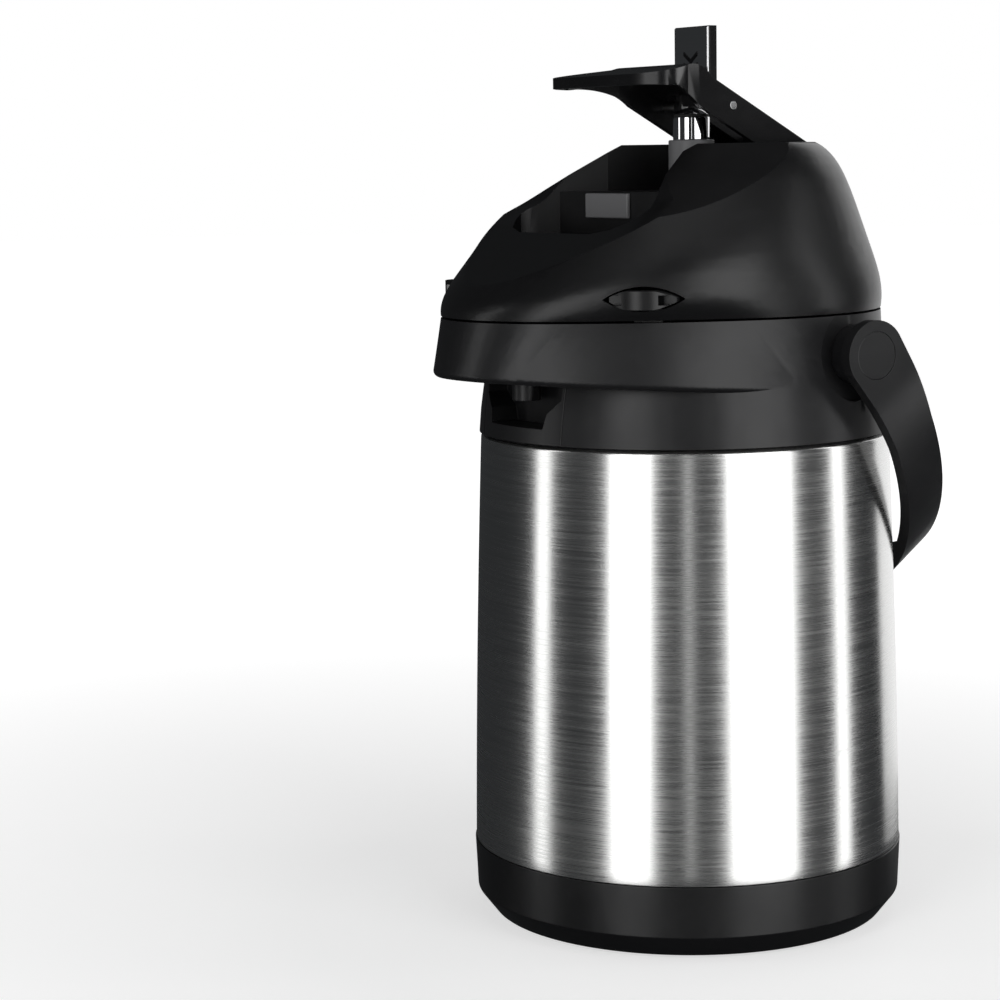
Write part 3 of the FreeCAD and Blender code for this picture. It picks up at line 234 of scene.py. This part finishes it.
LOOKS = {
    "base_plastic": plastic("base_satin_black", (0.0045, 0.0045, 0.005), 0.27, 0.37, lift=2.6),
    "collar_plastic": plastic("shoulder_satin_black", (0.008, 0.008, 0.0088), 0.29, 0.40, lift=2.2),
    "lid_plastic": plastic("lid_satin_black", (0.0055, 0.0055, 0.006), 0.26, 0.36, lift=2.4),
    "lever_plastic": plastic("lever_semi_gloss_black", (0.0045, 0.0045, 0.005), 0.17, 0.26, 0.6, 0.08,
                             gloss=0.5),
    "handle_plastic": plastic("handle_satin_black", (0.009, 0.009, 0.0098), 0.29, 0.40, lift=2.0),
    "inner_plastic": plastic("inner_moulded_black", (0.022, 0.022, 0.024), 0.42, 0.56, 1.2),
    "grey_plastic": plastic("grey_moulding", (0.16, 0.16, 0.165), 0.4, 0.52, 1.0, 0.12, 1.25),
    "brushed_steel": brushed_round_the_axis(
        metal("brushed_flask_steel", (0.80, 0.80, 0.79), (0.66, 0.66, 0.65), 0.2, 0.32, 0.12), 0.65),
    "inner_steel": metal("drawn_inner_steel", (0.66, 0.66, 0.66), (0.52, 0.52, 0.52), 0.3, 0.42, 0.2),
    "screw_steel": metal("bright_screw_steel", (0.62, 0.62, 0.63), (0.5, 0.5, 0.5), 0.22, 0.34, 0.1),
    "spring_steel": metal("spring_wire_steel", (0.58, 0.58, 0.6), (0.46, 0.46, 0.47), 0.25, 0.36, 0.1),
    "chrome": metal("bright_chrome", (0.86, 0.86, 0.87), (0.80, 0.80, 0.81), 0.035, 0.085, 0.02),
    "rubber": plastic("black_rubber", (0.016, 0.016, 0.016), 0.62, 0.78, 1.4, 0.2, 2.2),
    "silicone": plastic("milky_silicone", (0.42, 0.42, 0.40), 0.36, 0.5, 0.6, 0.08, 1.1,
                        Subsurface_Weight=0.15),
}

SLOT_OF = {entry["node"]: entry["material_slot"] for entry in record["subparts"]}
BODY_OF = {node: body for body, members in record["behaviour"]["bodies"].items() for node in members}


def dress(piece, slot):
    piece.data.materials.clear()
    piece.data.materials.append(LOOKS[slot])
    return piece


def placed(piece, body, slot, *nodes):
    """A finished piece: its material, the body it moves with and the nodes it stands for."""
    if slot is not None and not piece.data.materials:
        dress(piece, slot)
    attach(piece, body)
    if nodes:
        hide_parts(*nodes)
    return piece


def linked(name, mesh):
    piece = bpy.data.objects.new(name, mesh)
    bpy.context.scene.collection.objects.link(piece)
    return piece


def from_bmesh(name, bm):
    mesh = bpy.data.meshes.new(name)
    bm.to_mesh(mesh)
    bm.free()
    return linked(name, mesh)


def creased(mesh, degrees):
    """Smooth shading, with the edges sharper than the given angle left crisp."""
    bm = bmesh.new()
    bm.from_mesh(mesh)
    limit = math.radians(degrees)
    for face in bm.faces:
        face.smooth = True
    for edge in bm.edges:
        sharp = len(edge.link_faces) != 2 or edge.calc_face_angle(0.0) > limit
        edge.smooth = not sharp
    bm.to_mesh(mesh)
    bm.free()


def baked(piece):
    """The piece with its modifiers applied, as a plain mesh."""
    bpy.context.view_layer.update()
    shown = piece.evaluated_get(bpy.context.evaluated_depsgraph_get())
    mesh = bpy.data.meshes.new_from_object(shown)
    piece.modifiers.clear()
    old = piece.data
    piece.data = mesh
    if old.users == 0:
        bpy.data.meshes.remove(old)
    return piece


def softened(node, name, edge):
    """A moulded piece from its exact solid: faces merged, and every corner given a small radius."""
    source = frame["nodes"][node]
    bm = bmesh.new()
    bm.from_mesh(source.data)
    bmesh.ops.remove_doubles(bm, verts=bm.verts, dist=0.000004)
    bmesh.ops.dissolve_degenerate(bm, edges=bm.edges, dist=0.000002)
    bmesh.ops.dissolve_limit(bm, angle_limit=math.radians(0.6), verts=bm.verts, edges=bm.edges)
    piece = from_bmesh(name, bm)
    if edge:
        round_over = piece.modifiers.new("round_over", "BEVEL")
        round_over.width = edge * MM
        round_over.segments = 2
        round_over.limit_method = "ANGLE"
        round_over.angle_limit = math.radians(28)
        round_over.miter_outer = "MITER_ARC"
        round_over.use_clamp_overlap = True
        baked(piece)
    creased(piece.data, 35)
    weigh = piece.modifiers.new("even_shading", "WEIGHTED_NORMAL")
    weigh.keep_sharp = True
    weigh.weight = 60
    baked(piece)
    return placed(piece, BODY_OF[node], SLOT_OF[node], node)


def turned(name, profile, steps, smooth):
    """A closed piece of revolution about Z from (radius, height) points in millimetres."""
    bm = bmesh.new()
    rings = []
    for radius, height in profile:
        ring = []
        for index in range(steps):
            turn = 2 * math.pi * index / steps
            spot = (radius * MM * math.cos(turn), radius * MM * math.sin(turn), height * MM)
            ring.append(bm.verts.new(spot))
        rings.append(ring)
    for low, high in zip(rings, rings[1:] + rings[:1]):
        for index in range(steps):
            after = (index + 1) % steps
            bm.faces.new((low[index], low[after], high[after], high[index]))
    bmesh.ops.recalc_face_normals(bm, faces=bm.faces)
    piece = from_bmesh(name, bm)
    creased(piece.data, smooth)
    return piece


# ------------------------------------------------------------------ steel wall of the flask


def bent_through(first, middle, last, count):
    """Points of radius over height through three given ones."""
    points = []
    for index in range(count + 1):
        height = first[1] + (last[1] - first[1]) * index / count
        total = 0.0
        for here in (first, middle, last):
            weight = here[0]
            for other in (first, middle, last):
                if other is not here:
                    weight *= (height - other[1]) / (here[1] - other[1])
            total += weight
        points.append((total, height))
    return points


SHEET = 0.8
FLASK_TOP = 181.5
WAIST_RADIUS = 79.0
TOP_RADIUS = 76.4
SHOULDER_RADIUS = 73.6
NECK_RADIUS = 34.5
NECK_FOOT = 198.0
NECK_TOP = 211.2


def flask_wall():
    """The outer steel wall, drawn in towards the top, with a hem at the foot and a rolled shoulder."""
    low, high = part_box("outer_shell")
    foot = low.z / MM
    wide = high.x / MM
    top = FLASK_TOP
    waist = (WAIST_RADIUS, 0.5 * (foot + top))
    side = bent_through((wide, foot + 0.5), waist, (TOP_RADIUS, top - 0.4), 40)
    hem = [(wide - SHEET, foot + 0.5), (wide - 0.75, foot + 0.15), (wide - 0.4, foot),
           (wide - 0.08, foot + 0.15)]
    roll = [(76.35, top + 0.1), (76.1, top + 0.45), (75.6, top + 0.8), (SHOULDER_RADIUS, top + 1.7)]
    neck = [(NECK_RADIUS, NECK_FOOT), (NECK_RADIUS, NECK_TOP), (NECK_RADIUS - SHEET, NECK_TOP),
            (NECK_RADIUS - SHEET, NECK_FOOT - SHEET), (72.8, top + 0.9), (75.6, top)]
    inside = [(radius - SHEET, height) for radius, height in reversed(side[1:-1])]
    piece = turned("flask_wall", hem + side + roll + neck + inside, 256, 30)
    return placed(piece, "vessel", "brushed_steel", "outer_shell")


flask_wall()

# ------------------------------------------------------------------ moulded pieces from their solids

PIECES = [
    ("base_cup", "base_moulding", 0.5), ("collar", "shoulder_moulding", 0.5),
    ("nozzle_insert", "spout_panel", 0.4),
    ("lid_shell", "domed_lid", 0.6), ("lever", "pump_lever", 0.5), ("handle", "carrying_handle", 1.0),
    ("lock_body", "lock_tab", 0.45), ("latch_right", "latch_button_right", 0.4),
    ("latch_left", "latch_button_left", 0.4), ("lid_base_plate", "lid_floor", 0.4),
    ("lever_rest", "lever_catch", 0.3), ("plunger_stem", "plunger_column", 0.5),
    ("plunger_head", "chrome_plunger", 0.3), ("plunger_guide", "plunger_bush", 0.35),
    ("plunger_ring", "plunger_band", 0.2), ("spout_nozzle", "spout_tube", 0.4), ("tube_head", "stopper", 0.4),
    ("pivot_cap_right", "pivot_disc_right", 0.3), ("pivot_cap_left", "pivot_disc_left", 0.3),
    ("pivot_boss_right", "pivot_ring_right", 0.3), ("pivot_boss_left", "pivot_ring_left", 0.3),
    ("foot_ring", "foot_band", 0.4), ("foot_pad", "middle_foot", 0.4),
    ("inner_liner", "steel_bottle", 0.0), ("neck_ring", "neck_nut_ring", 0.4),
    ("lid_hinge_pin", "hinge_rod", 0.3), ("lever_hinge_pin", "lever_rod", 0.25),
    ("lock_pin_right", "lock_rod_right", 0.25), ("lock_pin_left", "lock_rod_left", 0.25),
    ("bellows", "pump_bellows", 0.0), ("bellows_plate", "bellows_disc", 0.3),
    ("pump_seal", "mouth_seal", 0.3),
    ("mouth_gasket", "neck_gasket", 0.3), ("dip_tube", "rising_tube", 0.2),
    ("discharge_tube", "outlet_hose", 0.0), ("shell_floor", "flask_floor", 0.15),
    ("pivot_pin_right", "pivot_rod_right", 0.25), ("pivot_pin_left", "pivot_rod_left", 0.25),
    ("valve_ball", "tilt_ball", 0.0),
]
for node, name, edge in PIECES:
    softened(node, name, edge)


def shortens_with_the_pump(piece):
    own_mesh(piece)


shortens_with_the_pump(bpy.data.objects["pump_bellows"])


# ------------------------------------------------------------------ lock tab face with a raised chevron


def raised_chevron(centre_x, height, face, arm, thick, rise):
    """A V of two bars standing out of an upright face that looks along -Y."""
    tip = arm * 0.7
    outline = [(-arm, tip), (0, 0), (arm, tip), (arm, tip + thick), (0, thick), (-arm, tip + thick)]
    bm = bmesh.new()
    front = [bm.verts.new((centre_x + across, face - rise, height + up)) for across, up in outline]
    back = [bm.verts.new((centre_x + across, face + rise * 0.5, height + up)) for across, up in outline]
    for corners in ((0, 1, 4, 5), (1, 2, 3, 4)):
        bm.faces.new([front[index] for index in corners])
        bm.faces.new([back[index] for index in reversed(corners)])
    for index in range(6):
        after = (index + 1) % 6
        bm.faces.new((front[index], back[index], back[after], front[after]))
    bmesh.ops.recalc_face_normals(bm, faces=bm.faces)
    return bm


def lock_face():
    piece = softened("lock_plate", "lock_face", 0.12)
    low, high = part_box("lock_plate")
    middle = (low.x + high.x) / 2
    for count, height in enumerate((low.z + 0.0065, low.z + 0.0105)):
        mark = from_bmesh("lock_chevron_%d" % (count + 1),
                          raised_chevron(middle, height, low.y, 0.0042, 0.0014, 0.00028))
        creased(mark.data, 30)
        placed(mark, "lock", "lever_plastic")


lock_face()


# ------------------------------------------------------------------ screws and wound springs


def node_tree(name, inputs):
    tree = bpy.data.node_groups.new(name, "GeometryNodeTree")
    sockets = {}
    for label, kind, default in inputs:
        socket = tree.interface.new_socket(label, in_out="INPUT", socket_type=kind)
        if default is not None:
            socket.default_value = default
        sockets[label] = socket.identifier
    tree.interface.new_socket("Geometry", in_out="OUTPUT", socket_type="NodeSocketGeometry")
    return tree, sockets, tree.nodes.new("NodeGroupInput"), tree.nodes.new("NodeGroupOutput")


def grown(name, tree, sockets, values):
    piece = linked(name, bpy.data.meshes.new(name))
    modifier = piece.modifiers.new("grown", "NODES")
    modifier.node_group = tree
    for label, value in values.items():
        modifier[sockets[label]] = value
    return baked(piece)


def screw_head_mesh(radius, height, slot):
    """A pan head with a cross recess and a short shank, standing on z = 0."""
    bm = bmesh.new()
    rings = []
    recess = [(slot * 0.5, height * 0.35), (slot * 0.62, height)]
    head = [(radius * 0.8, height), (radius * 0.96, height * 0.72), (radius, height * 0.35), (radius, 0.0)]
    shank = [(radius * 0.52, 0.0), (radius * 0.52, -height * 2.4), (radius * 0.4, -height * 2.8)]
    profile = recess + head + shank
    steps = 32
    for index_ring, (reach, level) in enumerate(profile):
        ring = []
        for index in range(steps):
            turn = 2 * math.pi * index / steps
            pull = 1.0
            if index_ring < 2:
                pull = 1.0 if index % 8 in (0, 1, 7) else 0.5
            ring.append(bm.verts.new((reach * pull * math.cos(turn), reach * pull * math.sin(turn), level)))
        rings.append(ring)
    for low, high in zip(rings, rings[1:]):
        for index in range(steps):
            after = (index + 1) % steps
            bm.faces.new((low[index], low[after], high[after], high[index]))
    bm.faces.new(list(reversed(rings[0])))
    bm.faces.new(rings[-1])
    bmesh.ops.recalc_face_normals(bm, faces=bm.faces)
    mesh = bpy.data.meshes.new("screw_head")
    bm.to_mesh(mesh)
    bm.free()
    creased(mesh, 35)
    return mesh


def screws(name, body, node, spots, radius, height, turn_over, slot_name):
    """One tree puts a screw on each spot, turned a little differently."""
    head = linked(name + "_head", screw_head_mesh(radius, height, radius * 0.9))
    tree, sockets, entry, leave = node_tree(name + "_tree", [
        ("Head", "NodeSocketObject", None), ("Flip", "NodeSocketFloat", 0.0), ("Seed", "NodeSocketInt", 7)])
    points = tree.nodes.new("GeometryNodeObjectInfo")
    source = linked(name + "_spots", bpy.data.meshes.new(name + "_spots"))
    source.data.from_pydata([tuple(spot) for spot in spots], [], [])
    points.inputs["Object"].default_value = source
    info = tree.nodes.new("GeometryNodeObjectInfo")
    tree.links.new(entry.outputs["Head"], info.inputs["Object"])
    spin = tree.nodes.new("FunctionNodeRandomValue")
    spin.data_type = "FLOAT"
    tree.links.new(entry.outputs["Seed"], spin.inputs["Seed"])
    low = [s for s in spin.inputs if s.name == "Min" and s.type == "VALUE"][0]
    high = [s for s in spin.inputs if s.name == "Max" and s.type == "VALUE"][0]
    low.default_value = 0.0
    high.default_value = 1.5
    turn = tree.nodes.new("ShaderNodeCombineXYZ")
    tree.links.new(entry.outputs["Flip"], turn.inputs["X"])
    tree.links.new([s for s in spin.outputs if s.type == "VALUE"][0], turn.inputs["Z"])
    put = tree.nodes.new("GeometryNodeInstanceOnPoints")
    tree.links.new(points.outputs["Geometry"], put.inputs["Points"])
    tree.links.new(info.outputs["Geometry"], put.inputs["Instance"])
    tree.links.new(turn.outputs["Vector"], put.inputs["Rotation"])
    real = tree.nodes.new("GeometryNodeRealizeInstances")
    tree.links.new(put.outputs["Instances"], real.inputs["Geometry"])
    paint = tree.nodes.new("GeometryNodeSetMaterial")
    paint.inputs["Material"].default_value = LOOKS[slot_name]
    tree.links.new(real.outputs["Geometry"], paint.inputs["Geometry"])
    tree.links.new(paint.outputs["Geometry"], leave.inputs["Geometry"])
    piece = grown(name, tree, sockets, {"Head": head, "Flip": math.pi if turn_over else 0.0, "Seed": 7})
    for helper in (head, source):
        bpy.data.objects.remove(helper)
    return placed(piece, body, slot_name, node)


def corner_spots(radius, height):
    """Four spots at the corners of a square that stands on the given circle."""
    turns = [math.radians(45 + 90 * step) for step in range(4)]
    return [Vector((radius * math.cos(turn), radius * math.sin(turn), height)) for turn in turns]


BASE_HEAD = 0.0018
LID_HEAD = 0.0014
LID_SCREW_PLACES = [(0.046, 0.030), (-0.046, 0.030), (0.030, 0.052), (-0.030, 0.052)]
base_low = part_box("base_screws")[0]
screws("base_fixings", "vessel", "base_screws", corner_spots(0.052, base_low.z + BASE_HEAD),
       0.0036, BASE_HEAD, True, "screw_steel")
lid_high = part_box("lid_screws")[1]
screws("lid_fixings", "lid", "lid_screws",
       [Vector((across, back, lid_high.z - LID_HEAD)) for across, back in LID_SCREW_PLACES],
       0.003, LID_HEAD, False, "screw_steel")


LATCH_SPRING_LENGTH = 0.0034


def wound_spring(name, body, node, turns, wire, along=None):
    """A wire coil of the node's own length and width; along turns it from upright to the given direction."""
    low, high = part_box(node)
    tree, sockets, entry, leave = node_tree(name + "_tree", [
        ("Turns", "NodeSocketFloat", 6.0), ("Radius", "NodeSocketFloat", 0.01),
        ("Height", "NodeSocketFloat", 0.03), ("Wire", "NodeSocketFloat", 0.0005)])
    spiral = tree.nodes.new("GeometryNodeCurveSpiral")
    spiral.inputs["Resolution"].default_value = 36
    tree.links.new(entry.outputs["Turns"], spiral.inputs["Rotations"])
    tree.links.new(entry.outputs["Radius"], spiral.inputs["Start Radius"])
    tree.links.new(entry.outputs["Radius"], spiral.inputs["End Radius"])
    tree.links.new(entry.outputs["Height"], spiral.inputs["Height"])
    section = tree.nodes.new("GeometryNodeCurvePrimitiveCircle")
    section.inputs["Resolution"].default_value = 10
    tree.links.new(entry.outputs["Wire"], section.inputs["Radius"])
    skin = tree.nodes.new("GeometryNodeCurveToMesh")
    skin.inputs["Fill Caps"].default_value = True
    tree.links.new(spiral.outputs["Curve"], skin.inputs["Curve"])
    tree.links.new(section.outputs["Curve"], skin.inputs["Profile Curve"])
    real = tree.nodes.new("GeometryNodeRealizeInstances")
    tree.links.new(skin.outputs["Mesh"], real.inputs["Geometry"])
    paint = tree.nodes.new("GeometryNodeSetMaterial")
    paint.inputs["Material"].default_value = LOOKS["spring_steel"]
    tree.links.new(real.outputs["Geometry"], paint.inputs["Geometry"])
    tree.links.new(paint.outputs["Geometry"], leave.inputs["Geometry"])
    middle = (low + high) / 2
    lying = along is not None
    length = LATCH_SPRING_LENGTH if lying else high.z - low.z
    width = high.z - low.z if lying else high.x - low.x
    values = {"Turns": float(turns), "Radius": width / 2 - wire, "Height": length - 2 * wire, "Wire": wire}
    piece = grown(name, tree, sockets, values)
    if not lying:
        piece.data.transform(Matrix.Translation((middle.x, middle.y, low.z + wire)))
    else:
        lie = along.to_track_quat("Z", "Y").to_matrix().to_4x4()
        shift = Matrix.Translation((0, 0, -length / 2 + wire))
        piece.data.transform(Matrix.Translation(middle) @ lie @ shift)
    creased(piece.data, 40)
    return placed(piece, body, "spring_steel", node)


shortens_with_the_pump(wound_spring("pump_spring", "lid", "return_spring", 7, 0.0008))
latch_turn = math.radians(44.5)
for side, sign in (("right", 1), ("left", -1)):
    wound_spring("latch_coil_" + side, "lid", "latch_spring_" + side, 3, 0.0003,
                 Vector((sign * math.sin(latch_turn), -math.cos(latch_turn), 0)))

for name, node in frame["nodes"].items():
    dress(node, SLOT_OF[name])


# ------------------------------------------------------------------ studio


def stage_material(name, colour, glow):
    material = bpy.data.materials.new(name)
    material.use_nodes = True
    tree = material.node_tree
    shader = tree.nodes["Principled BSDF"]
    where = tree.nodes.new("ShaderNodeTexCoord").outputs["Object"]
    mottling = noise(tree, where, 3.0, 2)
    colours = blended(tree, ranged(tree, mottling, 0.0, 1.0), (colour, colour, colour, 1),
                      (colour * 0.985, colour * 0.985, colour * 0.985, 1))
    tree.links.new(colours, shader.inputs["Base Color"])
    shader.inputs["Roughness"].default_value = 0.6
    shader.inputs["Specular IOR Level"].default_value = 0.1
    shader.inputs["Emission Color"].default_value = (1, 1, 1, 1)
    away = tree.nodes.new("ShaderNodeVectorMath")
    away.operation = "LENGTH"
    tree.links.new(where, away.inputs[0])
    fading = ranged(tree, away.outputs["Value"], glow, 1.0, 0.15, 0.75)
    path = tree.nodes.new("ShaderNodeLightPath")
    tree.links.new(combined(tree, "MULTIPLY", path.outputs["Is Camera Ray"], fading),
                   shader.inputs["Emission Strength"])
    unseen = combined(tree, "MAXIMUM", path.outputs["Is Glossy Ray"], path.outputs["Is Shadow Ray"])
    tree.links.new(combined(tree, "SUBTRACT", 1.0, unseen), shader.inputs["Alpha"])
    return material


def floor():
    bm = bmesh.new()
    reach = 9.0
    steps = 48
    turns = [2 * math.pi * index / steps for index in range(steps)]
    rim = [bm.verts.new((reach * math.cos(turn), reach * math.sin(turn), 0)) for turn in turns]
    bm.faces.new(rim)
    piece = from_bmesh("studio_floor", bm)
    piece.data.materials.append(stage_material("studio_floor_white", 0.5, 0.62))


def soft_box(name, turn, distance, height, width, tall, glow):
    """A rectangular light at an azimuth from the camera's own, facing the pot's middle."""
    light = bpy.data.lights.new(name, "AREA")
    light.shape = "RECTANGLE"
    light.size = width
    light.size_y = tall
    light.energy = glow * math.pi * width * tall
    lamp = bpy.data.objects.new(name, light)
    bpy.context.scene.collection.objects.link(lamp)
    where = math.radians(VIEW_TURN) + math.radians(turn)
    lamp.location = (distance * math.sin(where), -distance * math.cos(where), height)
    aim = Vector((0, 0, 0.16)) - lamp.location
    lamp.rotation_euler = aim.to_track_quat("-Z", "Y").to_euler()
    return lamp


VIEW_TURN = 54.0


def swung(first, second, angle):
    """Two directions at right angles, both turned by the angle in their own plane."""
    cosine, sine = math.cos(angle), math.sin(angle)
    return first * cosine - second * sine, second * cosine + first * sine


def camera():
    distance = 0.9764
    height = 0.28555
    turn = math.radians(VIEW_TURN)
    pitch, yaw, roll = math.radians(7.53), math.radians(4.09), math.radians(0.91)
    ahead = Vector((-math.sin(turn), math.cos(turn), 0))
    right = Vector((math.cos(turn), math.sin(turn), 0))
    up = Vector((0, 0, 1))
    ahead, right = swung(ahead, right, yaw)
    ahead, up = swung(ahead, up, pitch)
    right, up = swung(right, up, roll)
    lens = bpy.data.cameras.new("viewpoint")
    lens.lens = 93.6
    lens.sensor_width = 36.0
    lens.clip_start = 0.05
    seat = bpy.data.objects.new("viewpoint", lens)
    bpy.context.scene.collection.objects.link(seat)
    place = Matrix((right, up, -ahead)).transposed().to_4x4()
    place.translation = Vector((distance * math.sin(turn), -distance * math.cos(turn), height))
    seat.matrix_world = place
    bpy.context.scene.camera = seat


def sky():
    world = bpy.data.worlds.new("studio_air")
    bpy.context.scene.world = world
    world.use_nodes = True
    tree = world.node_tree
    out = tree.nodes["World Output"]
    dim = tree.nodes["Background"]
    dim.inputs["Color"].default_value = (0.9, 0.95, 1.0, 1)
    dim.inputs["Strength"].default_value = 0.03
    pale = tree.nodes.new("ShaderNodeBackground")
    pale.inputs["Color"].default_value = (1, 1, 1, 1)
    pale.inputs["Strength"].default_value = 1.0
    path = tree.nodes.new("ShaderNodeLightPath")
    choose = tree.nodes.new("ShaderNodeMixShader")
    tree.links.new(path.outputs["Is Camera Ray"], choose.inputs["Fac"])
    tree.links.new(dim.outputs["Background"], choose.inputs[1])
    tree.links.new(pale.outputs["Background"], choose.inputs[2])
    tree.links.new(choose.outputs["Shader"], out.inputs["Surface"])


floor()
camera()
sky()
soft_box("key_left", -29, 1.5, 0.30, 0.62, 2.0, 2.6)
soft_box("key_right", 41, 1.5, 0.30, 1.05, 2.0, 2.4)
soft_box("middle_stripe", 2, 1.6, 0.30, 0.07, 1.6, 1.3)
soft_box("edge_left", -82, 1.5, 0.30, 0.26, 1.8, 2.0)
soft_box("edge_right", 91, 1.5, 0.30, 0.26, 1.8, 2.2)
soft_box("back_right", 150, 1.7, 0.40, 1.3, 1.6, 1.0)
soft_box("overhead", 20, 0.25, 1.5, 0.9, 0.9, 1.0)

view = bpy.context.scene.view_settings
view.view_transform = "Standard"
view.look = "None"

bpy.context.view_layer.update()
